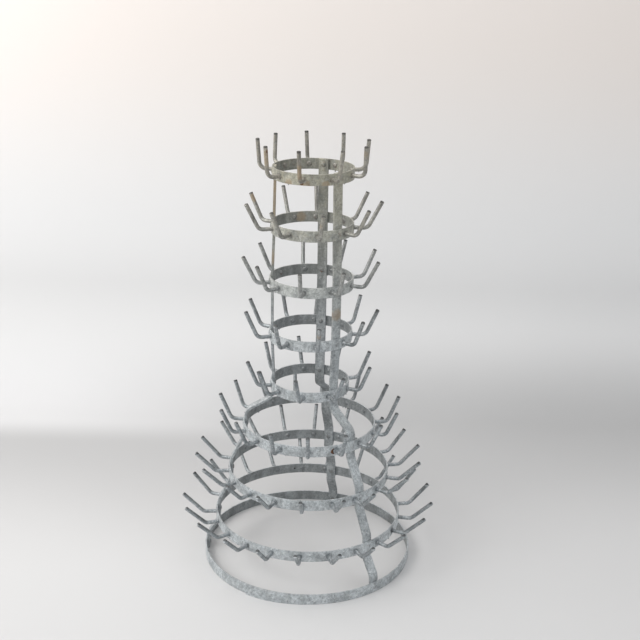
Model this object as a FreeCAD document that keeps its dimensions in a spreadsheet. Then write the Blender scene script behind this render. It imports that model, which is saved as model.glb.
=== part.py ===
import FreeCAD, Part
import Sketcher
import math
import os

# Galvanised bottle drying rack: flat-strip hoops on three bent uprights, with
# bent rod pegs riveted through the hoops.  Millimetres and degrees.
# Origin: centre of the base hoop, on the floor.  +Z up, front towards -Y.

os.makedirs("parts", exist_ok=True)
doc = FreeCAD.newDocument("BottleDryingRack")

# ---------------------------------------------------------------- dimensions
# Each tier: outer radius of the hoop, height of its middle, number of pegs,
# azimuth of the first peg, and lean of the peg shafts from vertical.
tiers = {
    1: (196.0, 94.0, 21, -8.0, 45.0),
    2: (168.5, 193.5, 18, 7.0, 44.0),
    3: (138.0, 296.5, 15, 6.0, 24.0),
    4: (81.0, 389.0, 9, 20.0, 22.0),
    5: (84.5, 499.0, 9, -2.0, 23.0),
    6: (84.5, 610.0, 9, 20.0, 26.0),
    7: (82.0, 722.5, 9, -2.0, 27.0),
    8: (80.5, 832.0, 9, 17.0, 3.0),
}
sizes = {
    "stripWidth": 22.0,         # hoop strip, standing on edge
    "stripThickness": 3.0,
    "stripRound": 0.6,          # rolled edges of strip and bar
    "baseRadius": 220.0,
    "lapAzimuth": -123.0,       # outer end of the base strip, lapped over
    "lapLength": 46.0,
    "lapFade": 95.0,            # stretch in which the lap sinks into the ring
    "barWidth": 20.0,           # uprights
    "barThickness": 5.0,
    "barBend": 24.0,            # centreline radius of their bends
    "barFoot": 1.0,             # height of their lower ends
    "seatLength": 32.0,         # straight stretch against each hoop
    "leftAzimuth": 180.0,
    "backAzimuth": 74.5,
    "frontAzimuth": -50.0,
    "rodRadius": 4.0,           # pegs
    "rodBend": 14.0,
    "rodRun": 27.0,             # hoop face to the corner of the elbow
    "rodShaft": 60.0,           # corner of the elbow to the tip
    "tipChamfer": 0.7,
    "tenonRadius": 3.1,         # turned-down end through the hoop
    "peenRadius": 5.2,          # its hammered head inside the hoop
    "peenHeight": 2.0,
    "crownFlat": 1.3,           # flat that the hammer leaves on every head
    "rivetRadius": 2.8,
    "rivetHeadRadius": 5.2,
    "rivetHeadHeight": 2.4,
    "holeClearance": 0.1,
    "seatClearance": 0.02,
    "pegTwist": 6.0,            # largest sideways lean of a hand-bent peg
}
for tier, (radius, height, count, first, lean) in tiers.items():
    sizes[f"hoopRadius{tier}"] = radius
    sizes[f"hoopHeight{tier}"] = height
    sizes[f"pegCount{tier}"] = count
    sizes[f"pegFirst{tier}"] = first
    sizes[f"pegLean{tier}"] = lean

sheet = doc.addObject("Spreadsheet::Sheet", "Sizes")
for row, (alias, value) in enumerate(sizes.items(), start=1):
    sheet.set(f"A{row}", alias)
    sheet.set(f"B{row}", str(value))
    sheet.setAlias(f"B{row}", alias)
doc.recompute()


def size(alias):
    return float(sheet.get(alias))


# ------------------------------------------------------------------- helpers
def originPlane(body, role):
    return next(f for f in body.Origin.OriginFeatures if f.Role == role)


def newBody(name):
    body = doc.addObject("PartDesign::Body", name)
    body.Label = name
    return body


def newSketch(body, name, role):
    sketch = body.newObject("Sketcher::SketchObject", name)
    sketch.AttachmentSupport = [(originPlane(body, role), "")]
    sketch.MapMode = "FlatFace"
    return sketch


def constrain(sketch, formula, *terms):
    """Add one dimension and bind it to the sheet."""
    index = sketch.addConstraint(Sketcher.Constraint(*terms))
    sketch.setExpression(f"Constraints[{index}]", formula)


def atAzimuth(radius, azimuth, height):
    turn = FreeCAD.Rotation(FreeCAD.Vector(0, 0, 1), azimuth)
    return FreeCAD.Placement(turn.multVec(FreeCAD.Vector(radius, 0, height)), turn)


def copyOf(master, name, placement):
    link = doc.addObject("App::Link", name)
    link.LinkedObject = master
    link.LinkTransform = False
    link.Placement = placement
    return link


def group(name, members):
    compound = doc.addObject("Part::Compound", name)
    compound.Label = name
    compound.Links = members
    return compound


def drilled(name, solid, drills):
    """The named sub-part: a solid with its radial holes cut."""
    cut = doc.addObject("Part::Cut", name)
    cut.Label = name
    cut.Base = solid
    cut.Tool = group(name + "Drills", drills)
    return cut


def radialDrill(name, radiusFormula, radius, azimuth, height):
    """A cylinder across the wall at this radius, pointing outwards."""
    reach = 30.0
    drill = doc.addObject("Part::Cylinder", name)
    drill.setExpression("Radius", radiusFormula)
    drill.Height = reach
    place = atAzimuth(radius - reach / 2, azimuth, height)
    aim = FreeCAD.Placement(FreeCAD.Vector(), FreeCAD.Rotation(FreeCAD.Vector(0, 1, 0), 90))
    drill.Placement = place.multiply(aim)
    return drill


# -------------------------------------------------------------------- layout
uprights = {"left": "leftAzimuth", "back": "backAzimuth", "front": "frontAzimuth"}
tenonHole = "Sizes.tenonRadius + Sizes.holeClearance"
rivetHole = "Sizes.rivetRadius + Sizes.holeClearance"


def hoopAliases(tier):
    """Radius and height of a hoop as formulas; tier 0 is the base hoop."""
    if tier == 0:
        return "Sizes.baseRadius", "Sizes.stripWidth / 2"
    return f"Sizes.hoopRadius{tier}", f"Sizes.hoopHeight{tier}"


def hoopPlace(tier):
    if tier == 0:
        return size("baseRadius"), size("stripWidth") / 2
    return size(f"hoopRadius{tier}"), size(f"hoopHeight{tier}")


def seatRadius(tier):
    """Outer face of an upright: its two edges bear on the hoop's inside."""
    radius, _ = hoopPlace(tier)
    inside = radius - size("stripThickness")
    return math.sqrt(inside ** 2 - (size("barWidth") / 2) ** 2) - size("seatClearance")


def seatFormula(tier):
    radius, _ = hoopAliases(tier)
    inside = f"({radius} - Sizes.stripThickness)"
    return f"sqrt({inside}^2 - (Sizes.barWidth / 2)^2) - Sizes.seatClearance"


def pegAzimuths(tier):
    """Even spacing, with any peg that meets an upright moved beside it."""
    radius, _ = hoopPlace(tier)
    count = int(size(f"pegCount{tier}"))
    room = size("barWidth") / 2 + size("peenRadius") + 0.5
    clear = math.degrees(math.asin(room / (radius - size("stripThickness"))))
    azimuths = []
    for k in range(count):
        azimuth = size(f"pegFirst{tier}") + k * 360.0 / count
        for alias in uprights.values():
            gap = (azimuth - size(alias) + 180) % 360 - 180
            if abs(gap) < clear:
                azimuth += math.copysign(clear, gap) - gap
        azimuths.append(azimuth)
    return azimuths


def sectorOf(azimuth):
    """Which bay between uprights a peg stands in."""
    fromFront = (azimuth - size("frontAzimuth")) % 360
    if fromFront < (size("backAzimuth") - size("frontAzimuth")) % 360:
        return "right"
    if fromFront < (size("leftAzimuth") - size("frontAzimuth")) % 360:
        return "back"
    return "front"


# --------------------------------------------------------------------- hoops
def hoopRing(tier, name):
    radius, height = hoopPlace(tier)
    radiusFormula, _ = hoopAliases(tier)
    body = newBody(name)
    sketch = newSketch(body, name + "Section", "XY_Plane")
    rings = ((radius, radiusFormula),
             (radius - size("stripThickness"), f"{radiusFormula} - Sizes.stripThickness"))
    for ringRadius, formula in rings:
        circle = Part.Circle(FreeCAD.Vector(), FreeCAD.Vector(0, 0, 1), ringRadius)
        ring = sketch.addGeometry(circle, False)
        sketch.addConstraint(Sketcher.Constraint("Coincident", ring, 3, -1, 1))
        constrain(sketch, formula, "Radius", ring, ringRadius)
    pad = body.newObject("PartDesign::Pad", name + "Pad")
    pad.Profile = sketch
    pad.SideType = "Symmetric"
    pad.setExpression("Length", "Sizes.stripWidth")
    body.Tip = pad
    body.Placement.Base.z = height
    return body


def lapTail(body, name):
    """The strip's outer end, lapped over the base hoop and sinking into it."""
    ring, thickness = size("baseRadius"), size("stripThickness")
    inner, outer, sunk = ring - thickness / 2, ring + thickness, ring - 0.2
    start = math.radians(size("lapAzimuth"))
    fade = start + size("lapLength") / ring
    end = fade + size("lapFade") / ring
    origin, axis = FreeCAD.Vector(), FreeCAD.Vector(0, 0, 1)

    def point(radius, angle):
        return FreeCAD.Vector(radius * math.cos(angle), radius * math.sin(angle), 0)

    sketch = newSketch(body, name + "LapSection", "XY_Plane")
    sketch.addGeometry([
        Part.ArcOfCircle(Part.Circle(origin, axis, inner), start, end),
        Part.ArcOfCircle(Part.Circle(origin, axis, outer), start, fade),
        Part.Arc(point(outer, fade), point(ring + thickness * 0.45, (fade + end) / 2), point(sunk, end)),
        Part.LineSegment(point(inner, start), point(outer, start)),
        Part.LineSegment(point(inner, end), point(sunk, end)),
    ], False)
    for corner in ((3, 1, 0, 1), (3, 2, 1, 1), (1, 2, 2, 1), (4, 2, 2, 2), (4, 1, 0, 2)):
        sketch.addConstraint(Sketcher.Constraint("Coincident", *corner))
    for arc in (0, 1):
        sketch.addConstraint(Sketcher.Constraint("Coincident", arc, 3, -1, 1))
    constrain(sketch, "Sizes.baseRadius - Sizes.stripThickness / 2", "Radius", 0, inner)
    constrain(sketch, "Sizes.baseRadius + Sizes.stripThickness", "Radius", 1, outer)
    pad = body.newObject("PartDesign::Pad", name + "Lap")
    pad.Profile = sketch
    pad.SideType = "Symmetric"
    pad.setExpression("Length", "Sizes.stripWidth")
    body.Tip = pad


def roundHoop(body, name):
    """Take the sharpness off the long edges of the strip."""
    doc.recompute()
    ring = body.Tip
    reach = size("stripWidth") / 2 - 0.01
    edges = [f"Edge{k}" for k, edge in enumerate(ring.Shape.Edges, start=1)
             if all(abs(v.Z) > reach for v in edge.Vertexes)
             and len({round(v.Z, 3) for v in edge.Vertexes}) == 1
             and edge.Curve.TypeId == "Part::GeomCircle"]
    fillet = body.newObject("PartDesign::Fillet", name + "Round")
    fillet.Base = (ring, edges)
    fillet.setExpression("Radius", "Sizes.stripRound")
    body.Tip = fillet


def hoopDrills(tier, name):
    radius, height = hoopPlace(tier)
    drills = [radialDrill(f"{name}Rivet{side}", rivetHole, radius, size(alias), height)
              for side, alias in uprights.items()]
    if tier > 0:
        drills += [radialDrill(f"{name}Peg{k}", tenonHole, radius, azimuth, height)
                   for k, azimuth in enumerate(pegAzimuths(tier))]
    return drills


def lapAzimuths():
    """Two rivets at the quarter points of the lap."""
    sweep = math.degrees(size("lapLength") / size("baseRadius"))
    return [size("lapAzimuth") + sweep * part for part in (0.25, 0.75)]


def baseHoop():
    body = hoopRing(0, "baseHoopStrip")
    roundHoop(body, "baseHoopStrip")
    lapTail(body, "baseHoopStrip")
    radius, height = hoopPlace(0)
    drills = hoopDrills(0, "base")
    drills += [radialDrill(f"baseLap{k}", rivetHole, radius, azimuth, height)
               for k, azimuth in enumerate(lapAzimuths())]
    return drilled("base_hoop", body, drills)


def pegHoop(tier):
    body = hoopRing(tier, f"hoopStrip{tier}")
    roundHoop(body, f"hoopStrip{tier}")
    return drilled(f"peg_hoop_{tier}", body, hoopDrills(tier, f"hoop{tier}"))


# ------------------------------------------------------------------ uprights
def joggle(top, bottom, bends):
    """Arc, slant and arc between two plumb stretches, as geometry going down."""
    side = math.copysign(1, bottom[0] - top[0])
    offset = abs(bottom[0] - top[0])
    drop = top[1] - bottom[1]
    both = sum(bends)
    slant = math.sqrt((offset - both) ** 2 + drop ** 2 - both ** 2)
    turn = math.atan2(offset - both, drop) + math.atan2(both, slant)

    def first(angle):
        return FreeCAD.Vector(top[0] + side * bends[0] * (1 - math.cos(angle)),
                              top[1] - bends[0] * math.sin(angle), 0)

    def second(angle):
        return FreeCAD.Vector(bottom[0] - side * bends[1] * (1 - math.cos(angle)),
                              bottom[1] + bends[1] * math.sin(angle), 0)

    return [Part.Arc(first(0), first(turn / 2), first(turn)),
            Part.LineSegment(first(turn), second(turn)),
            Part.Arc(second(turn), second(turn / 2), second(0))]


def seatEnds(tier):
    """Upper and lower ends of the plumb stretch at a hoop, as value and formula."""
    _, height = hoopPlace(tier)
    _, formula = hoopAliases(tier)
    half = size("seatLength") / 2
    above = (height + half, f"{formula} + Sizes.seatLength / 2")
    below = (height - half, f"{formula} - Sizes.seatLength / 2")
    if tier == 8:                     # flush with the top strip
        above = (height + size("stripWidth") / 2, f"{formula} + Sizes.stripWidth / 2")
    if tier == 0:                     # just clear of the floor
        below = (size("barFoot"), "Sizes.barFoot")
    return above, below


def barFace(sketch, inset, insetFormula):
    """One long face of the bar, from the top hoop down to the floor end."""
    previous = None
    for tier in range(8, -1, -1):
        x = seatRadius(tier) - inset
        above, below = seatEnds(tier)
        if previous is not None:
            meeting = joinSeats(sketch, previous, (x, above[0]), inset, insetFormula)
        plumb = sketch.addGeometry(Part.LineSegment(FreeCAD.Vector(x, above[0], 0),
                                                    FreeCAD.Vector(x, below[0], 0)), False)
        if previous is None:
            topLine = plumb
        else:
            sketch.addConstraint(Sketcher.Constraint(*meeting, plumb, 1))
        sketch.addConstraint(Sketcher.Constraint("Vertical", plumb))
        constrain(sketch, f"{seatFormula(tier)} - {insetFormula}", "DistanceX", -1, 1, plumb, 2, x)
        constrain(sketch, below[1], "DistanceY", -1, 1, plumb, 2, below[0])
        constrain(sketch, above[1], "DistanceY", -1, 1, plumb, 1, above[0])
        previous = (x, below[0], plumb)
    return topLine, plumb


def joinSeats(sketch, previous, target, inset, insetFormula):
    """Carry the face from one plumb stretch to the next: straight, or over two bends."""
    start, last = previous[:2], previous[2]
    gentle = 6.0                      # below this offset the bar needs no bend
    if abs(target[0] - start[0]) < gentle:
        line = sketch.addGeometry(Part.LineSegment(FreeCAD.Vector(*start, 0),
                                                   FreeCAD.Vector(*target, 0)), False)
        sketch.addConstraint(Sketcher.Constraint("Coincident", last, 2, line, 1))
        return "Coincident", line, 2
    offset = size("barThickness") / 2 - inset
    bends = (size("barBend") - offset, size("barBend") + offset)
    formulas = (f"Sizes.barBend - Sizes.barThickness / 2 + {insetFormula}",
                f"Sizes.barBend + Sizes.barThickness / 2 - {insetFormula}")
    ids = [sketch.addGeometry(piece, False) for piece in joggle(start, target, bends)]
    first, second = arcDirections(sketch, ids)
    for tangent in ((last, 2, ids[0], first[0]), (ids[0], first[1], ids[1], 1),
                    (ids[1], 2, ids[2], second[0])):
        sketch.addConstraint(Sketcher.Constraint("Tangent", *tangent))
    for arc, bend, formula in zip((ids[0], ids[2]), bends, formulas):
        constrain(sketch, formula, "Radius", arc, bend)
    return "Tangent", ids[2], second[1]


def arcDirections(sketch, ids):
    """Start and end numbers of the two arcs, in the direction of travel."""
    ends = []
    for arc, neighbour, neighbourEnd in ((ids[0], ids[1], 1), (ids[2], ids[1], 2)):
        meet = sketch.getPoint(neighbour, neighbourEnd)
        near = 1 if sketch.getPoint(arc, 1).distanceToPoint(meet) < 1e-6 else 2
        far = 3 - near
        ends.append((far, near) if neighbourEnd == 1 else (near, far))
    return ends


def upright(side, alias):
    name = f"{side}Bar"
    body = newBody(name)
    sketch = newSketch(body, name + "Outline", "XZ_Plane")
    outerTop, outerEnd = barFace(sketch, 0.0, "0")
    innerTop, innerEnd = barFace(sketch, size("barThickness"), "Sizes.barThickness")
    for a, b, end in ((outerTop, innerTop, 1), (outerEnd, innerEnd, 2)):
        line = sketch.addGeometry(Part.LineSegment(sketch.getPoint(a, end),
                                                   sketch.getPoint(b, end)), False)
        sketch.addConstraint(Sketcher.Constraint("Coincident", line, 1, a, end))
        sketch.addConstraint(Sketcher.Constraint("Coincident", line, 2, b, end))
    pad = body.newObject("PartDesign::Pad", name + "Pad")
    pad.Profile = sketch
    pad.SideType = "Symmetric"
    pad.setExpression("Length", "Sizes.barWidth")
    body.Tip = pad
    doc.recompute()
    fillet = body.newObject("PartDesign::Fillet", name + "Round")
    fillet.Base = (pad, [])
    fillet.UseAllEdges = True
    fillet.setExpression("Radius", "Sizes.stripRound")
    body.Tip = fillet
    azimuth = size(alias)
    body.Placement = atAzimuth(0, azimuth, 0)
    drills = []
    for tier in range(9):
        radius, height = hoopPlace(tier)
        drills.append(radialDrill(f"{side}Bar{tier}", rivetHole, radius, azimuth, height))
    return drilled(f"upright_{side}", body, drills)


# -------------------------------------------------------------------- rivets
shoulderShare = 0.72        # how far out and up the shoulder of a head stands
rootDepth = 1.0             # the turned tenon starts this far inside the rod


def dome(base, height, radius, towards):
    """Points of a hammered head: its rim, its shoulder, the edge of its flat crown, the axis."""
    crown = base + towards * height
    shoulder = (base + towards * height * shoulderShare, radius * shoulderShare)
    return (base, radius), shoulder, (crown, size("crownFlat")), (crown, 0)


def rivetMaster(tier):
    """A rivet through hoop and upright, its axis radial, x = 0 on the hoop face."""
    radius, _ = hoopPlace(tier)
    inner = seatRadius(tier) - size("barThickness") - radius
    return rivet(f"rivet{tier}", inner, 0.0)


def rivet(name, inner, outer):
    body = newBody(name)
    shank, head, height = size("rivetRadius"), size("rivetHeadRadius"), size("rivetHeadHeight")
    inside = dome(inner, height, head, -1)
    outside = dome(outer, height * 0.6, head, 1)
    walls = [outside[0], (outer, shank), (inner, shank), inside[0]]
    return turnedBody(body, name, headArcs=(outside, inside),
                      lines=[(inside[3], outside[3]), (outside[3], outside[2]),
                             *zip(walls, walls[1:]), (inside[2], inside[3])])


def turnedBody(body, name, headArcs, lines):
    """A profile of lines and head arcs turned round the X axis."""
    sketch = newSketch(body, name + "Section", "XZ_Plane")
    for start, end in lines:
        sketch.addGeometry(Part.LineSegment(onSketch(start), onSketch(end)), False)
    for head in headArcs:
        sketch.addGeometry(Part.Arc(*[onSketch(point) for point in head[:3]]), False)
    turned = body.newObject("PartDesign::Revolution", name + "Turned")
    turned.Profile = sketch
    turned.ReferenceAxis = (sketch, ["H_Axis"])
    turned.Angle = 360
    body.Tip = turned
    return body


def onSketch(point):
    return FreeCAD.Vector(point[0], point[1], 0)


def rivetGroups():
    masters = {tier: rivetMaster(tier) for tier in range(9)}
    for side, alias in uprights.items():
        members = []
        for tier, master in masters.items():
            radius, height = hoopPlace(tier)
            members.append(copyOf(master, f"{side}Rivet{tier}", atAzimuth(radius, size(alias), height)))
        yield group(f"upright_rivets_{side}", members)
    radius, height = hoopPlace(0)
    inner = math.sqrt((radius - size("stripThickness")) ** 2 - size("rivetHeadRadius") ** 2) - radius
    outer = size("stripThickness")
    master = rivet("lapRivet", inner - size("seatClearance"), outer)
    members = [copyOf(master, f"lapRivet{k}", atAzimuth(radius, azimuth, height))
               for k, azimuth in enumerate(lapAzimuths())]
    yield group("base_lap_rivets", members)


# ---------------------------------------------------------------------- pegs
def pegMaster(tier):
    """A peg with its hole at the origin: run along X, shaft leaning outwards."""
    name = f"peg{tier}"
    body = newBody(name)
    lean = math.radians(size(f"pegLean{tier}"))
    bend = size("rodBend")
    turn = math.pi / 2 - lean
    back = bend * math.tan(turn / 2)            # corner to each end of the arc
    run, shaft = size("rodRun"), size("rodShaft")
    along = FreeCAD.Vector(math.sin(lean), math.cos(lean), 0)
    corner = FreeCAD.Vector(run, 0, 0)
    bendStart = FreeCAD.Vector(run - back, 0, 0)
    bendEnd = corner + along * back
    centre = FreeCAD.Vector(run - back, bend, 0)
    middle = centre + FreeCAD.Vector(math.sin(turn / 2), -math.cos(turn / 2), 0) * bend
    path = newSketch(body, name + "Path", "XZ_Plane")
    first = path.addGeometry(Part.LineSegment(FreeCAD.Vector(), bendStart), False)
    arc = path.addGeometry(Part.Arc(bendStart, middle, bendEnd), False)
    last = path.addGeometry(Part.LineSegment(bendEnd, corner + along * shaft), False)
    path.addConstraint(Sketcher.Constraint("Coincident", first, 1, -1, 1))
    path.addConstraint(Sketcher.Constraint("Horizontal", first))
    path.addConstraint(Sketcher.Constraint("Tangent", first, 2, arc, 1))
    path.addConstraint(Sketcher.Constraint("Tangent", arc, 2, last, 1))
    constrain(path, "Sizes.rodBend", "Radius", arc, bend)
    constrain(path, f"(90 - Sizes.pegLean{tier}) * 1 deg", "Angle", -1, 1, last, 1, turn)
    reach = f"Sizes.rodBend * tan((90 - Sizes.pegLean{tier}) / 2 * 1 deg)"
    constrain(path, f"Sizes.rodRun - {reach}", "Distance", first, run - back)
    constrain(path, f"Sizes.rodShaft - {reach}", "Distance", last, shaft - back)
    section = newSketch(body, name + "Section", "YZ_Plane")
    rod = section.addGeometry(Part.Circle(FreeCAD.Vector(), FreeCAD.Vector(0, 0, 1),
                                          size("rodRadius")), False)
    section.addConstraint(Sketcher.Constraint("Coincident", rod, 3, -1, 1))
    constrain(section, "Sizes.rodRadius", "Radius", rod, size("rodRadius"))
    pipe = body.newObject("PartDesign::AdditivePipe", name + "Rod")
    pipe.Profile = section
    pipe.Spine = path
    body.Tip = pipe
    doc.recompute()
    tip = corner + along * shaft
    tipEdges = [f"Edge{k}" for k, edge in enumerate(pipe.Shape.Edges, start=1)
                if edge.CenterOfMass.distanceToPoint(FreeCAD.Vector(tip.x, 0, tip.y)) < 0.01]
    chamfer = body.newObject("PartDesign::Chamfer", name + "Tip")
    chamfer.Base = (pipe, tipEdges)
    chamfer.setExpression("Size", "Sizes.tipChamfer")
    body.Tip = chamfer
    radius, _ = hoopPlace(tier)
    inside = math.sqrt((radius - size("stripThickness")) ** 2 - size("peenRadius") ** 2)
    seat = inside - radius - size("seatClearance")
    peen = dome(seat, size("peenHeight"), size("peenRadius"), -1)
    walls = [(rootDepth, 0), (rootDepth, size("tenonRadius")), (seat, size("tenonRadius")), peen[0]]
    return turnedBody(body, name + "Tenon", headArcs=[peen],
                      lines=[(peen[3], walls[0]), *zip(walls, walls[1:]), (peen[2], peen[3])])


def pegGroups(tier):
    master = pegMaster(tier)
    radius, height = hoopPlace(tier)
    bays = {"front": [], "right": [], "back": []}
    for k, azimuth in enumerate(pegAzimuths(tier)):
        twist = size("pegTwist") * math.sin(2.4 * k + 1.7 * tier)
        spin = FreeCAD.Placement(FreeCAD.Vector(), FreeCAD.Rotation(FreeCAD.Vector(1, 0, 0), twist))
        place = atAzimuth(radius + size("seatClearance"), azimuth, height).multiply(spin)
        bays[sectorOf(azimuth)].append(copyOf(master, f"peg{tier}Copy{k}", place))
    return [group(f"pegs_tier_{tier}_{bay}", members) for bay, members in bays.items()]


# --------------------------------------------------------------------- build
subparts = [baseHoop()]
subparts += [pegHoop(tier) for tier in tiers]
subparts += [upright(side, alias) for side, alias in uprights.items()]
subparts += list(rivetGroups())
for tier in tiers:
    subparts += pegGroups(tier)
doc.recompute()

for item in doc.Objects:
    if "Invalid" in item.State or "Error" in item.State:
        raise RuntimeError(f"{item.Name} failed: {item.State}")
for item in subparts:
    if item.Shape.isNull() or not item.Shape.isValid():
        raise RuntimeError(f"{item.Label} has no valid shape")
for item in subparts:
    item.Shape.exportStep(f"parts/{item.Label}.step")
    print(item.Label, len(item.Shape.Solids), "solids", round(item.Shape.Volume), "mm3")
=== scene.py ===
import bpy
import math
import random
from mathutils import Matrix, Vector


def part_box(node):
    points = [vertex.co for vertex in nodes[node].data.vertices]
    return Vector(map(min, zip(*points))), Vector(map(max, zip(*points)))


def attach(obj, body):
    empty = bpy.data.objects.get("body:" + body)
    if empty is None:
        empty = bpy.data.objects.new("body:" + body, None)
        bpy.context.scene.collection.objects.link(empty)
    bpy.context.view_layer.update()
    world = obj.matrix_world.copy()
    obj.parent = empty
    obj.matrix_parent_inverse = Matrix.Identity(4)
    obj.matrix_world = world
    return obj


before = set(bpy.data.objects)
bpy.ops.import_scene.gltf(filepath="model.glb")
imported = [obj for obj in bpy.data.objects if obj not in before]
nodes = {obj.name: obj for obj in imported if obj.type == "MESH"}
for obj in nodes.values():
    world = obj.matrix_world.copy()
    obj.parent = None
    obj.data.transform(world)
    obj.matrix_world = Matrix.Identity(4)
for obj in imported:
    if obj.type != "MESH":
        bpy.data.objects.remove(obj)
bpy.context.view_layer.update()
bpy.ops.object.select_all(action="DESELECT")
print("rack loaded:", len(nodes), "CAD pieces")

rack = {                                           # what the finishes need to know about the rack
    "hoopMiddles": {name: (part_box(name)[0].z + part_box(name)[1].z) / 2
                    for name in nodes if "hoop" in name},
    "barAzimuths": {"left": 180.0, "back": 74.5, "front": -50.0},
    "stripHalf": (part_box("peg_hoop_1")[1].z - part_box("peg_hoop_1")[0].z) / 2,
    "barHalf": (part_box("upright_left")[1].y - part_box("upright_left")[0].y) / 2,
}


sectors = ("front", "right", "back")               # the pegs of a tier are in three nodes


# wiring the shaders
def put(tree, kind, inputs=None, **settings):      # adds a node; inputs are values or sockets
    made = tree.nodes.new(kind)
    for name, value in settings.items():
        setattr(made, name, value)
    for name, value in (inputs or {}).items():
        wire(tree, made.inputs[name], value)
    return made


def wire(tree, socket, value):
    if isinstance(value, bpy.types.NodeSocket):
        tree.links.new(value, socket)
    else:
        socket.default_value = value


def calc(tree, operation, *values, clamp=False):   # one Math node, its answer
    made = tree.nodes.new("ShaderNodeMath")
    made.operation = operation
    made.use_clamp = clamp
    for socket, value in zip(made.inputs, values):
        wire(tree, socket, value)
    return made.outputs[0]


def vectorCalc(tree, operation, *values, answer="Vector"):
    made = tree.nodes.new("ShaderNodeVectorMath")
    made.operation = operation
    for socket, value in zip(made.inputs, values):
        wire(tree, socket, value)
    return made.outputs[answer]


def ramp(tree, value, low, high):                  # 0 below low, 1 above high
    made = put(tree, "ShaderNodeMapRange", {"Value": value, "From Min": low, "From Max": high},
               interpolation_type="SMOOTHSTEP")
    return made.outputs["Result"]


def blend(tree, share, under, over, how="MIX"):    # colours
    made = tree.nodes.new("ShaderNodeMix")
    made.data_type = "RGBA"
    made.blend_type = how
    for socket, value in zip((made.inputs[0], made.inputs[6], made.inputs[7]), (share, under, over)):
        wire(tree, socket, value)
    return made.outputs[2]


def noise(tree, place, scale, detail=2.0, roughness=0.5, distortion=0.0):
    made = put(tree, "ShaderNodeTexNoise", {"Vector": place, "Scale": scale, "Detail": detail,
                                            "Roughness": roughness, "Distortion": distortion})
    return made.outputs


def newGroup(name, inputs, outputs):
    tree = bpy.data.node_groups.new(name, "ShaderNodeTree")
    for label, (kind, value) in inputs.items():
        socket = tree.interface.new_socket(label, in_out="INPUT", socket_type="NodeSocket" + kind)
        if value is not None:
            socket.default_value = value
    for label, kind in outputs.items():
        tree.interface.new_socket(label, in_out="OUTPUT", socket_type="NodeSocket" + kind)
    return tree, tree.nodes.new("NodeGroupInput").outputs, tree.nodes.new("NodeGroupOutput").inputs


def use(tree, group, **values):                    # places a group; spaces in names are underscores
    made = tree.nodes.new("ShaderNodeGroup")
    made.node_tree = group
    for name, value in values.items():
        wire(tree, made.inputs[name.replace("_", " ")], value)
    return made.outputs


# effects shared by the finishes
edges = {"scale": 160.0, "wander": 0.0022, "start": -0.0014, "full": -0.0003}   # metres from the very edge


def zincCrystals():
    tree, ins, outs = newGroup("zincCrystals",
                               {"Place": ("Vector", None), "Crystal Size": ("Float", 0.006),
                                "Cloud Size": ("Float", 0.05)},
                               {"Crystal": "Float", "Cloud": "Float", "Grain": "Float", "Height": "Float"})
    perCrystal = calc(tree, "DIVIDE", 1.0, ins["Crystal Size"])
    perCloud = calc(tree, "DIVIDE", 1.0, ins["Cloud Size"])
    wobble = noise(tree, ins["Place"], calc(tree, "MULTIPLY", perCrystal, 1.3), detail=3.0, roughness=0.6)
    shift = vectorCalc(tree, "SUBTRACT", wobble["Color"], (0.5, 0.5, 0.5))
    shift = vectorCalc(tree, "SCALE", shift)
    wire(tree, shift.node.inputs["Scale"], calc(tree, "MULTIPLY", ins["Crystal Size"], 1.6))
    place = vectorCalc(tree, "ADD", ins["Place"], shift)
    cells = put(tree, "ShaderNodeTexVoronoi", {"Vector": place, "Scale": perCrystal, "Randomness": 1.0})
    tone = put(tree, "ShaderNodeSeparateColor", {"Color": cells.outputs["Color"]})
    small = put(tree, "ShaderNodeTexVoronoi",
                {"Vector": place, "Scale": calc(tree, "MULTIPLY", perCrystal, 2.7), "Randomness": 1.0})
    smallTone = put(tree, "ShaderNodeSeparateColor", {"Color": small.outputs["Color"]})
    crystal = calc(tree, "ADD", calc(tree, "MULTIPLY", tone.outputs[0], 0.6),
                   calc(tree, "MULTIPLY", smallTone.outputs[1], 0.4))
    cloud = noise(tree, ins["Place"], perCloud, detail=5.0, roughness=0.62, distortion=0.4)[0]
    grain = noise(tree, ins["Place"], calc(tree, "MULTIPLY", perCrystal, 5.0), detail=4.0, roughness=0.7)[0]
    lumps = noise(tree, ins["Place"], calc(tree, "MULTIPLY", perCrystal, 0.8), detail=2.0, roughness=0.5)[0]
    fine = calc(tree, "ADD", calc(tree, "MULTIPLY", crystal, 0.15), calc(tree, "MULTIPLY", grain, 0.25))
    height = calc(tree, "ADD", calc(tree, "MULTIPLY", lumps, 0.6), fine)
    wire(tree, outs["Crystal"], crystal)
    wire(tree, outs["Cloud"], cloud)
    wire(tree, outs["Grain"], grain)
    wire(tree, outs["Height"], height)
    return tree


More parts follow.
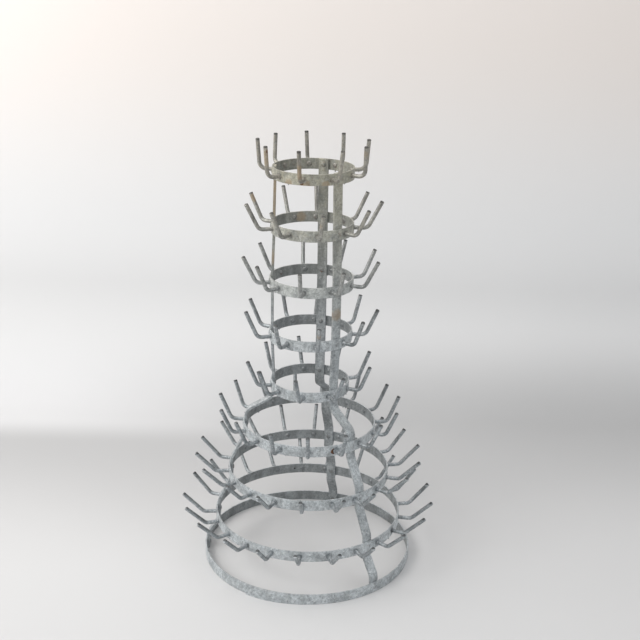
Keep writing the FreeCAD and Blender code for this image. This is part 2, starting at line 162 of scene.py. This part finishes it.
def rustBloom():                                   # rust that breaks out where a mask lets it
    tree, ins, outs = newGroup("rustBloom",
                               {"Place": ("Vector", None), "Where": ("Float", 0.0),
                                "Patch Size": ("Float", 0.006)},
                               {"Mask": "Float", "Color": "Color"})
    perPatch = calc(tree, "DIVIDE", 1.0, ins["Patch Size"])
    patch = noise(tree, ins["Place"], perPatch, detail=6.0, roughness=0.7)[0]
    reach = calc(tree, "ADD", patch, calc(tree, "MULTIPLY", ins["Where"], 0.55))
    mask = calc(tree, "MULTIPLY", ramp(tree, reach, 0.62, 0.86), ramp(tree, ins["Where"], 0.02, 0.2))
    shade = noise(tree, ins["Place"], calc(tree, "MULTIPLY", perPatch, 3.0), detail=4.0)[0]
    colors = put(tree, "ShaderNodeValToRGB", {"Fac": shade})
    stops = colors.color_ramp.elements
    stops[0].position, stops[0].color = 0.32, (0.035, 0.018, 0.012, 1)
    stops[1].position, stops[1].color = 0.72, (0.23, 0.105, 0.05, 1)
    wire(tree, outs["Mask"], mask)
    wire(tree, outs["Color"], colors.outputs[0])
    return tree


def grimeFilm():                                   # dark film that gathers in hollows and runs down
    tree, ins, outs = newGroup("grimeFilm",
                               {"Place": ("Vector", None), "Where": ("Float", 0.3),
                                "Patch Size": ("Float", 0.02)},
                               {"Mask": "Float"})
    runs = vectorCalc(tree, "MULTIPLY", ins["Place"], (1.0, 1.0, 0.28))
    film = noise(tree, runs, calc(tree, "DIVIDE", 1.0, ins["Patch Size"]), detail=6.0, roughness=0.65)[0]
    specks = noise(tree, ins["Place"], 420.0, detail=3.0)[0]
    reach = calc(tree, "ADD", film, calc(tree, "MULTIPLY", ins["Where"], 0.4))
    body = ramp(tree, reach, 0.5, 0.95)
    dots = calc(tree, "MULTIPLY", ramp(tree, specks, 0.66, 0.72), 0.5)
    wire(tree, outs["Mask"], calc(tree, "MAXIMUM", body, dots, clamp=True))
    return tree


def heightTint():                                  # 0 near the floor, 1 at the top of the rack
    tree, ins, outs = newGroup("heightTint",
                               {"Place": ("Vector", None), "Low": ("Float", 0.45), "High": ("Float", 0.85)},
                               {"Share": "Float"})
    apart = put(tree, "ShaderNodeSeparateXYZ", {"Vector": ins["Place"]})
    wire(tree, outs["Share"], ramp(tree, apart.outputs["Z"], ins["Low"], ins["High"]))
    return tree


def wornEdge(tree, place, away, halfWidth):         # a ragged line just inside an edge
    ragged = noise(tree, place, edges["scale"], detail=4.0)[0]
    loose = calc(tree, "MULTIPLY", calc(tree, "SUBTRACT", ragged, 0.5), edges["wander"])
    near = calc(tree, "ADD", calc(tree, "SUBTRACT", away, halfWidth), loose)
    return ramp(tree, near, edges["start"], edges["full"])


def stripEdge():                                   # upper and lower edges of a hoop strip
    tree, ins, outs = newGroup("stripEdge",
                               {"Place": ("Vector", None), "Middle": ("Float", 0.0),
                                "Half Width": ("Float", 0.009)},
                               {"Mask": "Float"})
    apart = put(tree, "ShaderNodeSeparateXYZ", {"Vector": ins["Place"]})
    away = calc(tree, "ABSOLUTE", calc(tree, "SUBTRACT", apart.outputs["Z"], ins["Middle"]))
    wire(tree, outs["Mask"], wornEdge(tree, ins["Place"], away, ins["Half Width"]))
    return tree


def barEdge():                                     # long edges of an upright
    tree, ins, outs = newGroup("barEdge",
                               {"Place": ("Vector", None), "Across": ("Vector", (1, 0, 0)),
                                "Half Width": ("Float", 0.009)},
                               {"Mask": "Float"})
    away = vectorCalc(tree, "DOT_PRODUCT", ins["Place"], ins["Across"], answer="Value")
    away = calc(tree, "ABSOLUTE", away)
    wire(tree, outs["Mask"], wornEdge(tree, ins["Place"], away, ins["Half Width"]))
    return tree


def ringBand():                                    # a band of distances from the rack's axis
    tree, ins, outs = newGroup("ringBand",
                               {"Place": ("Vector", None), "Radius": ("Float", 0.2),
                                "Depth": ("Float", 0.004)},
                               {"Inside": "Float"})
    flat = vectorCalc(tree, "MULTIPLY", ins["Place"], (1.0, 1.0, 0.0))
    away = calc(tree, "SUBTRACT", vectorCalc(tree, "LENGTH", flat, answer="Value"), ins["Radius"])
    wire(tree, outs["Inside"], calc(tree, "SUBTRACT", 1.0, ramp(tree, away, 0.0, ins["Depth"])))
    return tree


def facingIn():                                    # 1 on faces that look at the rack's axis
    tree, ins, outs = newGroup("facingIn",
                               {"Place": ("Vector", None), "Low": ("Float", 0.3), "High": ("Float", 0.8)},
                               {"Mask": "Float"})
    flat = vectorCalc(tree, "NORMALIZE", vectorCalc(tree, "MULTIPLY", ins["Place"], (1.0, 1.0, 0.0)))
    surface = tree.nodes.new("ShaderNodeNewGeometry")
    facing = vectorCalc(tree, "DOT_PRODUCT", surface.outputs["True Normal"], flat, answer="Value")
    wire(tree, outs["Mask"], ramp(tree, calc(tree, "MULTIPLY", facing, -1.0), ins["Low"], ins["High"]))
    return tree


def markSpot():                                    # one ragged spot
    tree, ins, outs = newGroup("markSpot",
                               {"Place": ("Vector", None), "Centre": ("Vector", None),
                                "Radius": ("Float", 0.004)},
                               {"Mask": "Float"})
    away = vectorCalc(tree, "DISTANCE", ins["Place"], ins["Centre"], answer="Value")
    ragged = noise(tree, ins["Place"], 300.0, detail=3.0)[0]
    away = calc(tree, "MULTIPLY", away, calc(tree, "ADD", 0.6, calc(tree, "MULTIPLY", ragged, 0.8)))
    outer = ramp(tree, away, calc(tree, "MULTIPLY", ins["Radius"], 0.55), ins["Radius"])
    wire(tree, outs["Mask"], calc(tree, "SUBTRACT", 1.0, outer))
    return tree


crystals, bloom, film, tint = zincCrystals(), rustBloom(), grimeFilm(), heightTint()
strip, bar, ring, inwards, spot = stripEdge(), barEdge(), ringBand(), facingIn(), markSpot()


# the galvanised finish
zinc = {
    "cool": (0.575, 0.617, 0.640),                 # low on the rack
    "warm": (0.455, 0.436, 0.338),                 # near the top, where it is stained
    "pale": (0.900, 0.925, 0.930),                 # bright crystals
    "deep": (0.170, 0.186, 0.196),                 # crystals that face away
    "dull": (0.085, 0.090, 0.088),                 # grime
    "tan": (0.380, 0.275, 0.165), "tanShare": 0.50,   # dried rust water
    "crystalSize": 0.0036,
    "cloudSize": 0.022,
    "paleShare": 0.48, "deepShare": 0.50, "cloudShare": 0.34, "grainShare": 0.54, "wornShare": 0.55,
    "edgeShare": 0.20, "grimeShare": 0.60, "innerShare": 0.62,
    "inner": (0.165, 0.175, 0.176),                # the unrubbed patina inside the hoops
    "innerLow": 0.3, "innerHigh": 0.8,             # how far a face must turn to count as inner
    "innerDirt": 0.30,                             # inner faces hold more dirt
    "metal": 0.45, "dirtyMetal": 0.5,              # the second is lost under grime
    "rough": 0.42, "crystalRough": 0.16, "dirtRough": 0.20, "rustRough": 0.30,
    "bump": 0.0008, "bumpStrength": 0.7, "rustBump": 0.3,
    "rustAtTop": 0.10,
    "speck": (0.006, 0.006, 0.006), "speckShare": 0.93,
}
barZinc = {**zinc, "cool": (0.510, 0.548, 0.568), "innerShare": 0.18}
rodZinc = {**zinc, "cool": (0.345, 0.378, 0.400), "warm": (0.390, 0.362, 0.300), "paleShare": 0.46,
           "dull": (0.030, 0.031, 0.030), "grimeShare": 0.85, "cloudShare": 0.24, "innerShare": 0.62,
           "innerLow": -0.3, "innerHigh": 0.6, "innerDirt": 0.10, "rough": 0.33, "metal": 0.60}
rivets = {"rust": 0.16, "grime": 0.55}
barGrime = 0.32


def share(tree, amount, mask):
    return calc(tree, "MULTIPLY", mask, amount)


def zincFinish(name, edge=None, rust=0.04, grime=0.22, marks=(), look=zinc):
    material = bpy.data.materials.new(name)
    material.use_nodes = True
    tree = material.node_tree
    surface = tree.nodes["Principled BSDF"]
    place = tree.nodes.new("ShaderNodeTexCoord").outputs["Object"]
    cells = use(tree, crystals, Place=place, Crystal_Size=look["crystalSize"], Cloud_Size=look["cloudSize"])
    stain = use(tree, tint, Place=place)["Share"]
    inner = use(tree, inwards, Place=place, Low=look["innerLow"], High=look["innerHigh"])["Mask"]
    pale, deep, dull = ((*look[key], 1) for key in ("pale", "deep", "dull"))
    color = blend(tree, stain, (*look["cool"], 1), (*look["warm"], 1))
    fresh = calc(tree, "SUBTRACT", 1.0, share(tree, look["wornShare"], stain))   # duller towards the top
    bright = calc(tree, "MULTIPLY", fresh, ramp(tree, cells["Crystal"], 0.52, 0.85))
    color = blend(tree, share(tree, look["paleShare"], bright), color, pale)
    color = blend(tree, share(tree, look["deepShare"], ramp(tree, cells["Crystal"], 0.45, 0.15)), color, deep)
    color = blend(tree, share(tree, look["cloudShare"], ramp(tree, cells["Cloud"], 0.52, 0.36)), color, deep)
    color = blend(tree, share(tree, look["grainShare"], ramp(tree, cells["Grain"], 0.50, 0.64)), color, deep)
    patina = calc(tree, "MULTIPLY", calc(tree, "MULTIPLY", inner, fresh),
                  ramp(tree, cells["Cloud"], 0.25, 0.55))
    patina = share(tree, look["innerShare"], patina)
    color = blend(tree, patina, color, (*look["inner"], 1))
    grimy = grime(tree, place) if callable(grime) else grime
    dirt = calc(tree, "ADD", grimy, share(tree, look["innerDirt"], inner))
    dirt = use(tree, film, Place=place, Where=dirt)["Mask"]
    color = blend(tree, share(tree, look["grimeShare"], dirt), color, dull)
    if edge:
        color = blend(tree, share(tree, look["edgeShare"], edge(tree, place)), color, deep)
    rusty = rust(tree, place) if callable(rust) else rust
    rusty = calc(tree, "ADD", rusty, share(tree, look["rustAtTop"], stain))
    for kind, centre, radius in marks:
        blot = use(tree, spot, Place=place, Centre=centre, Radius=radius)["Mask"]
        if kind == "rust":
            rusty = calc(tree, "ADD", rusty, blot)
        elif kind == "tan":
            color = blend(tree, share(tree, look["tanShare"], blot), color, (*look["tan"], 1))
        else:
            color = blend(tree, share(tree, look["speckShare"], blot), color, (*look["speck"], 1))
    rusted = use(tree, bloom, Place=place, Where=rusty)
    color = blend(tree, rusted["Mask"], color, rusted["Color"])
    rough = calc(tree, "ADD", look["rough"], share(tree, look["crystalRough"], cells["Crystal"]))
    rough = calc(tree, "ADD", rough, share(tree, look["dirtRough"], dirt))
    rough = calc(tree, "ADD", rough, share(tree, look["rustRough"], rusted["Mask"]), clamp=True)
    metal = share(tree, look["metal"], calc(tree, "SUBTRACT", 1.0, rusted["Mask"]))
    metal = calc(tree, "MULTIPLY", metal, calc(tree, "SUBTRACT", 1.0, share(tree, look["dirtyMetal"], dirt)))
    height = calc(tree, "ADD", cells["Height"], share(tree, look["rustBump"], rusted["Mask"]))
    relief = put(tree, "ShaderNodeBump",
                 {"Strength": look["bumpStrength"], "Distance": look["bump"], "Height": height})
    wire(tree, surface.inputs["Base Color"], color)
    wire(tree, surface.inputs["Roughness"], rough)
    wire(tree, surface.inputs["Metallic"], metal)
    wire(tree, surface.inputs["Normal"], relief.outputs["Normal"])
    return material


def finishNode(name, material):
    mesh = nodes[name].data
    mesh.materials.clear()
    mesh.materials.append(material)


def hoopEdge(middle):
    def mask(tree, place):
        return use(tree, strip, Place=place, Middle=middle, Half_Width=rack["stripHalf"])["Mask"]
    return mask


def barSide(azimuth):
    across = (-math.sin(math.radians(azimuth)), math.cos(math.radians(azimuth)), 0)

    def mask(tree, place):
        return use(tree, bar, Place=place, Across=across, Half_Width=rack["barHalf"])["Mask"]
    return mask


def byAzimuth(radius, azimuth, height):
    turn = math.radians(azimuth)
    return (radius * math.cos(turn), radius * math.sin(turn), height)


inside = 0.003                                     # from the outer face of a strip to its inner face
hoopMarks = {                                      # kind, azimuth, height above the middle, radius, depth
    "peg_hoop_1": [("dark", 100.0, 0.000, 0.0026, inside)],
    "peg_hoop_3": [("rust", -68.5, -0.001, 0.0072, 0)],
    "peg_hoop_7": [("tan", 108.0, 0.000, 0.0130, inside)],
    "peg_hoop_8": [("rust", -105.0, -0.006, 0.0048, 0), ("tan", -125.0, -0.010, 0.0110, 0),
                   ("tan", -100.0, -0.010, 0.0120, 0), ("tan", -72.0, -0.010, 0.0110, 0)],
}
pegMarks = {                                       # the same, from the outer face of the hoop
    5: [("tan", -82.0, 0.040, 0.0090, -0.0420)],
    7: [("tan", -82.0, 0.035, 0.0100, -0.0400), ("tan", 158.0, 0.045, 0.0110, -0.0450)],
    8: [("tan", -143.0, 0.038, 0.0200, -0.0275), ("rust", -143.0, 0.050, 0.0045, -0.0275),
        ("tan", -103.0, 0.020, 0.0180, -0.0275), ("tan", -23.0, 0.046, 0.0120, -0.0275)],
}
barRadius = 0.078                                  # of the narrow column's uprights
barMarks = {                                       # the same, with heights from the floor
    "left": [("tan", 180.0, 0.815, 0.030, 0), ("tan", 180.0, 0.780, 0.030, 0),
             ("tan", 180.0, 0.745, 0.025, 0), ("tan", 180.0, 0.660, 0.022, 0)],
    "front": [("tan", -50.0, 0.560, 0.016, 0)],
}


def placed(marks, radius, middle):
    return [(kind, byAzimuth(radius - depth, azimuth, middle + up), size)
            for kind, azimuth, up, size, depth in marks]


for name, middle in rack["hoopMiddles"].items():
    low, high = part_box(name)
    marks = placed(hoopMarks.get(name, []), (high.x - low.x) / 2, middle)
    finishNode(name, zincFinish(name + "Zinc", hoopEdge(middle), marks=marks))
for side, azimuth in rack["barAzimuths"].items():
    marks = placed(barMarks.get(side, []), barRadius, 0.0)
    finishNode("upright_" + side, zincFinish("upright" + side.title() + "Zinc", barSide(azimuth),
                                             grime=barGrime, marks=marks, look=barZinc))
rivetZinc = zincFinish("rivetZinc", **rivets)
for name in nodes:
    if "rivets" in name:
        finishNode(name, rivetZinc)


pegEnds = {
    "headRust": 0.16, "headInset": 0.002, "headDepth": 0.003,   # the hammered ends inside the hoop
    "shaftGrime": 0.15, "tipDarkening": 1.0, "tipStart": 0.0045, "tipFull": 0.0012,   # metres below the tip
}


def pegRust(radius):                               # the hammered ends rust first
    def mask(tree, place):
        inner = radius - pegEnds["headInset"]
        head = use(tree, ring, Place=place, Radius=inner, Depth=pegEnds["headDepth"])["Inside"]
        return share(tree, pegEnds["headRust"], head)
    return mask


def tipDarkening(top):                                 # darker towards the tips of the rods
    def mask(tree, place):
        height = put(tree, "ShaderNodeSeparateXYZ", {"Vector": place}).outputs["Z"]
        tip = ramp(tree, height, top - pegEnds["tipStart"], top - pegEnds["tipFull"])
        return calc(tree, "ADD", pegEnds["shaftGrime"], share(tree, pegEnds["tipDarkening"], tip))
    return mask


for tier in range(1, 9):
    low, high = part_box(f"peg_hoop_{tier}")
    pegNodes = [f"pegs_tier_{tier}_{sector}" for sector in sectors]
    top = max(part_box(name)[1].z for name in pegNodes)
    radius = (high.x - low.x) / 2
    marks = placed(pegMarks.get(tier, []), radius, rack["hoopMiddles"][f"peg_hoop_{tier}"])
    pegZinc = zincFinish(f"pegTier{tier}Zinc", rust=pegRust(radius), grime=tipDarkening(top), marks=marks,
                         look=rodZinc)
    for name in pegNodes:
        finishNode(name, pegZinc)
print("finishes done:", len(bpy.data.materials))


# zinc left by the dipping bath
def openEditing(name):
    piece = bpy.context.object
    piece.name = name
    bpy.ops.object.mode_set(mode="EDIT")
    bpy.ops.mesh.select_mode(type="VERT")
    return piece


def pickPoints(piece, test):                       # selects the points that pass, in edit mode
    bpy.ops.mesh.select_all(action="DESELECT")
    bpy.ops.object.mode_set(mode="OBJECT")
    for vertex in piece.data.vertices:
        vertex.select = test(vertex.co)
    bpy.ops.object.mode_set(mode="EDIT")


def copiesOf(master, name, places, material):
    made = []
    for place in places:                           # each copy has its own mesh, with its place in it
        twin = master.copy()
        twin.data = master.data.copy()
        twin.data.transform(place)
        bpy.context.scene.collection.objects.link(twin)
        made.append(twin)
    bpy.ops.object.select_all(action="DESELECT")
    for twin in made:
        twin.select_set(True)
    bpy.context.view_layer.objects.active = made[0]
    bpy.ops.object.join()
    whole = bpy.context.object
    whole.name = whole.data.name = name
    whole.data.materials.clear()
    whole.data.materials.append(material)
    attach(whole, "root")
    return whole


def outwards(radius, azimuth, height, spin=0.0, size=1.0):   # X out from the rack's axis
    return (Matrix.Rotation(math.radians(azimuth), 4, "Z") @ Matrix.Translation((radius, 0, height))
            @ Matrix.Rotation(spin, 4, "X") @ Matrix.Scale(size, 4))


def pegDirections(tier, radius):                   # azimuths at which the rods leave the hoop
    found = []
    middle = rack["hoopMiddles"][f"peg_hoop_{tier}"]
    for sector in sectors:
        for vertex in nodes[f"pegs_tier_{tier}_{sector}"].data.vertices:
            flat = Vector((vertex.co.x, vertex.co.y))
            if abs(flat.length - radius) > 0.0008 or abs(vertex.co.z - middle) > 0.004:
                continue
            aim = flat.normalized()
            near = next((total for total in found if total.normalized().dot(aim) > 0.995), None)
            if near is None:
                found.append(aim.copy())
            else:
                near += aim
    return sorted(math.degrees(math.atan2(total.y, total.x)) for total in found)


collar = {"root": 0.0066, "neck": 0.0041, "rise": 0.0034, "sides": 12, "waist": 0.80, "lumps": 0.00035,
          "sizes": (0.9, 1.12)}
tear = {"radius": 0.0016, "drop": 0.0022, "lumps": 0.0002, "perHoop": 5, "hoopSizes": (0.6, 1.05),
        "inset": (0.0005, 0.0025), "elbowShare": 0.4, "elbowRun": 0.0125, "elbowSizes": (0.55, 0.95),
        "elbowDrop": 0.0030}
bead = {"size": 0.0013, "length": 0.0150, "lumps": 0.00025}


def zincCollar():                                  # the fillet of zinc where a rod meets the strip
    bpy.ops.mesh.primitive_cone_add(vertices=collar["sides"], radius1=collar["root"], radius2=collar["neck"],
                                    depth=collar["rise"], location=(0, 0, collar["rise"] / 2 - 0.0004),
                                    end_fill_type="NGON")
    piece = openEditing("zincCollar")
    bpy.ops.mesh.bisect(plane_co=(0, 0, collar["rise"] * 0.35), plane_no=(0, 0, 1))
    pickPoints(piece, lambda at: abs(at.z - collar["rise"] * 0.35) < 0.0001)
    bpy.ops.transform.resize(value=(collar["waist"], collar["waist"], 1), center_override=(0, 0, 0))
    bpy.ops.mesh.select_all(action="SELECT")
    bpy.ops.transform.vertex_random(offset=collar["lumps"], seed=4)
    bpy.ops.transform.rotate(value=math.pi / 2, orient_axis="Y", center_override=(0, 0, 0))
    bpy.ops.mesh.normals_make_consistent(inside=False)
    bpy.ops.object.mode_set(mode="OBJECT")
    bpy.ops.object.transform_apply()
    bpy.ops.object.shade_smooth_by_angle(angle=math.radians(50))
    return piece


def zincTear():                                    # a drop that froze as the rack left the bath
    bpy.ops.mesh.primitive_uv_sphere_add(segments=8, ring_count=6, radius=tear["radius"])
    piece = openEditing("zincTear")
    pickPoints(piece, lambda at: at.z < -tear["radius"] * 0.3)
    bpy.ops.transform.translate(value=(0, 0, -tear["drop"] * 0.4))
    bpy.ops.transform.resize(value=(0.72, 0.72, 1), center_override=(0, 0, 0))
    pickPoints(piece, lambda at: at.z < -tear["radius"] * 0.9)
    bpy.ops.transform.translate(value=(0, 0, -tear["drop"] * 0.35))
    bpy.ops.mesh.select_all(action="SELECT")
    bpy.ops.transform.vertex_random(offset=tear["lumps"], seed=9)
    bpy.ops.object.mode_set(mode="OBJECT")
    bpy.ops.object.shade_smooth()
    return piece


def seamBead():                                    # zinc that bridged the edge of an upright and the strip
    bpy.ops.mesh.primitive_cube_add(size=1, scale=(bead["size"], bead["size"], bead["length"]))
    bpy.ops.object.transform_apply()
    piece = openEditing("seamBead")
    for along in (-0.3, -0.1, 0.1, 0.3):           # cuts, as shares of the length
        bpy.ops.mesh.select_all(action="SELECT")
        bpy.ops.mesh.bisect(plane_co=(0, 0, along * bead["length"]), plane_no=(0, 0, 1))
    pickPoints(piece, lambda at: at.x < 0 and at.y > 0)
    bpy.ops.transform.translate(value=(bead["size"] * 0.5, -bead["size"] * 0.5, 0))
    bpy.ops.mesh.select_all(action="SELECT")
    bpy.ops.transform.vertex_random(offset=bead["lumps"], seed=2)
    bpy.ops.object.mode_set(mode="OBJECT")
    bpy.ops.object.shade_smooth()
    return piece


rng = random.Random(7)
collarMaster, tearMaster, beadMaster = zincCollar(), zincTear(), seamBead()
drops = []
for tier in range(1, 9):
    name = f"peg_hoop_{tier}"
    low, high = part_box(name)
    radius, middle = (high.x - low.x) / 2, rack["hoopMiddles"][name]
    aims = pegDirections(tier, radius)
    copiesOf(collarMaster, f"zinc_collars_tier_{tier}",
             [outwards(radius, aim, middle, rng.uniform(0, math.tau), rng.uniform(*collar["sizes"]))
              for aim in aims],
             bpy.data.materials[f"pegTier{tier}Zinc"])
    drops += [outwards(radius - rng.uniform(*tear["inset"]), rng.uniform(-180, 180),
                       middle - rack["stripHalf"], size=rng.uniform(*tear["hoopSizes"]))
              for _ in range(tear["perHoop"])]
    drops += [outwards(radius + tear["elbowRun"], aim, middle - tear["elbowDrop"],
                       size=rng.uniform(*tear["elbowSizes"]))
              for aim in aims if rng.random() < tear["elbowShare"]]
copiesOf(tearMaster, "zinc_tears", drops, bpy.data.materials["peg_hoop_1Zinc"])
for side, azimuth in rack["barAzimuths"].items():
    seams = []
    for name, middle in rack["hoopMiddles"].items():
        low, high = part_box(name)
        wall = high.x - inside                     # inner face of the strip
        half = math.degrees(math.asin(rack["barHalf"] / wall))
        for turn, spin in ((half, 0.0), (-half, math.pi)):
            seams.append(outwards(wall - bead["size"] * 0.4, azimuth + turn, middle, spin))
    copiesOf(beadMaster, f"zinc_seams_{side}", seams, bpy.data.materials["upright" + side.title() + "Zinc"])
for master in (collarMaster, tearMaster, beadMaster):
    bpy.data.objects.remove(master)
print("zinc details done")


# studio
studio = {
    "floorFront": -3.2, "coveStart": 0.95, "wallTop": 3.4, "halfWidth": 4.5, "coveRadius": 0.30,
    # wallLow is painted shade: the wall darker low down, towards the cove; wallHigh makes it warmer towards
    # the top
    "floorColor": (0.590, 0.593, 0.598), "wallLow": (0.668, 0.669, 0.672), "wallColor": (0.732, 0.733, 0.737),
    "wallHigh": (0.725, 0.680, 0.650),
    # painted shadow on the floor behind the rack
    "shadeColor": (0.450, 0.452, 0.456),
    # painted light and shade on the far floor: lighter on the left, darker on the right
    "farLeftLit": (0.640, 0.642, 0.650), "farRightShaded": (0.430, 0.432, 0.435),
    "skyStrength": 0.48,
    "keyPower": 62.0, "topPower": 22.0, "fillPower": 14.0, "wallPower": 10.5,
}


def studioSweep():
    bpy.ops.mesh.primitive_plane_add(size=1, location=(0, 0, 0))
    sweep = bpy.context.object
    sweep.name = "studioSweep"
    width, front, back = studio["halfWidth"], studio["floorFront"], studio["coveStart"]
    corners = ((-width, front), (width, front), (-width, back), (width, back))
    for vertex, (x, y) in zip(sweep.data.vertices, corners):
        vertex.co = (x, y, 0)
    bpy.ops.object.mode_set(mode="EDIT")
    bpy.ops.mesh.select_all(action="DESELECT")
    bpy.ops.object.mode_set(mode="OBJECT")
    for edge in sweep.data.edges:
        edge.select = all(sweep.data.vertices[k].co.y > back - 0.01 for k in edge.vertices)
    bpy.ops.object.mode_set(mode="EDIT")
    bpy.ops.mesh.select_mode(type="EDGE")
    bpy.ops.mesh.extrude_region_move(TRANSFORM_OT_translate={"value": (0, 0, studio["wallTop"])})
    bpy.ops.object.mode_set(mode="OBJECT")
    cove = sweep.modifiers.new("cove", "BEVEL")
    cove.width, cove.segments, cove.limit_method = studio["coveRadius"], 16, "ANGLE"
    bpy.ops.object.modifier_apply(modifier="cove")
    bpy.ops.object.shade_smooth()
    paint = bpy.data.materials.new("studioPaint")
    paint.use_nodes = True
    tree = paint.node_tree
    surface = tree.nodes["Principled BSDF"]
    place = tree.nodes.new("ShaderNodeTexCoord").outputs["Object"]
    apart = put(tree, "ShaderNodeSeparateXYZ", {"Vector": place}).outputs
    # painted light and shade: the far floor lighter to the left, darker to the right
    far = blend(tree, ramp(tree, apart["X"], -0.8, 0.25), (*studio["farLeftLit"], 1), (*studio["farRightShaded"], 1))
    color = blend(tree, ramp(tree, apart["Y"], -0.1, 0.8), (*studio["floorColor"], 1), far)
    shade = calc(tree, "MULTIPLY", ramp(tree, apart["Y"], -0.15, 0.50), ramp(tree, apart["Y"], 0.64, 0.50))
    shade = calc(tree, "MULTIPLY", shade, ramp(tree, apart["X"], 0.45, 0.05))
    color = blend(tree, shade, color, (*studio["shadeColor"], 1))   # painted shadow on the floor behind the rack, on the left
    # painted shade low on the wall, towards the cove; warmer towards the top
    wall = blend(tree, ramp(tree, apart["Z"], 0.15, 0.45), (*studio["wallLow"], 1), (*studio["wallColor"], 1))
    wall = blend(tree, ramp(tree, apart["Z"], 0.45, 1.05), wall, (*studio["wallHigh"], 1))
    color = blend(tree, ramp(tree, apart["Z"], -0.02, 0.20), color, wall)
    wire(tree, surface.inputs["Base Color"], color)
    surface.inputs["Roughness"].default_value = 0.85
    behind = tree.nodes.new("ShaderNodeNewGeometry").outputs["Backfacing"]
    wire(tree, surface.inputs["Alpha"], calc(tree, "SUBTRACT", 1.0, behind))   # clear from behind the wall
    sweep.data.materials.append(paint)


def softLamp(name, place, aim, size, power, color=(1, 1, 1)):
    bpy.ops.object.light_add(type="AREA", location=place)
    lamp = bpy.context.object
    lamp.name = name
    lamp.data.shape = "SQUARE"
    lamp.data.size = size
    lamp.data.energy = power
    lamp.data.color = color
    lamp.rotation_mode = "QUATERNION"
    lamp.rotation_quaternion = (Vector(aim) - Vector(place)).to_track_quat("-Z", "Y")


studioSweep()
softLamp("keyLamp", (-2.3, -1.6, 2.3), (0, 0, 0.4), 1.8, studio["keyPower"], (1.0, 0.985, 0.96))
softLamp("topLamp", (0.1, -0.2, 2.9), (0, 0.1, 0), 1.6, studio["topPower"])
softLamp("fillLamp", (2.4, -2.2, 1.5), (0, 0, 0.4), 1.8, studio["fillPower"], (0.95, 0.975, 1.0))
softLamp("wallLamp", (-1.6, 0.1, 1.7), (-0.7, 0.95, 1.0), 0.8, studio["wallPower"], (1.0, 0.97, 0.94))
world = bpy.data.worlds.new("studioAir")
bpy.context.scene.world = world
world.use_nodes = True
world.node_tree.nodes["Background"].inputs["Color"].default_value = (0.98, 0.99, 1.0, 1)
world.node_tree.nodes["Background"].inputs["Strength"].default_value = studio["skyStrength"]
bpy.context.scene.view_settings.view_transform = "Standard"
print("studio done")


# camera
camera = {
    "place": (0.01847, -2.15535, 1.28793),         # from CAD centre of the base hoop, on the floor
    "down": 19.45, "roll": 1.135, "lens": 63.34,
}
bpy.ops.object.camera_add()
view = bpy.context.object
view.name = "studioCamera"
view.matrix_world = (Matrix.Translation(camera["place"])
                     @ Matrix.Rotation(math.radians(90 - camera["down"]), 4, "X")
                     @ Matrix.Rotation(math.radians(camera["roll"]), 4, "Z"))
view.data.sensor_width = 36.0
view.data.lens = camera["lens"]
bpy.context.scene.camera = view

print("rack ready")
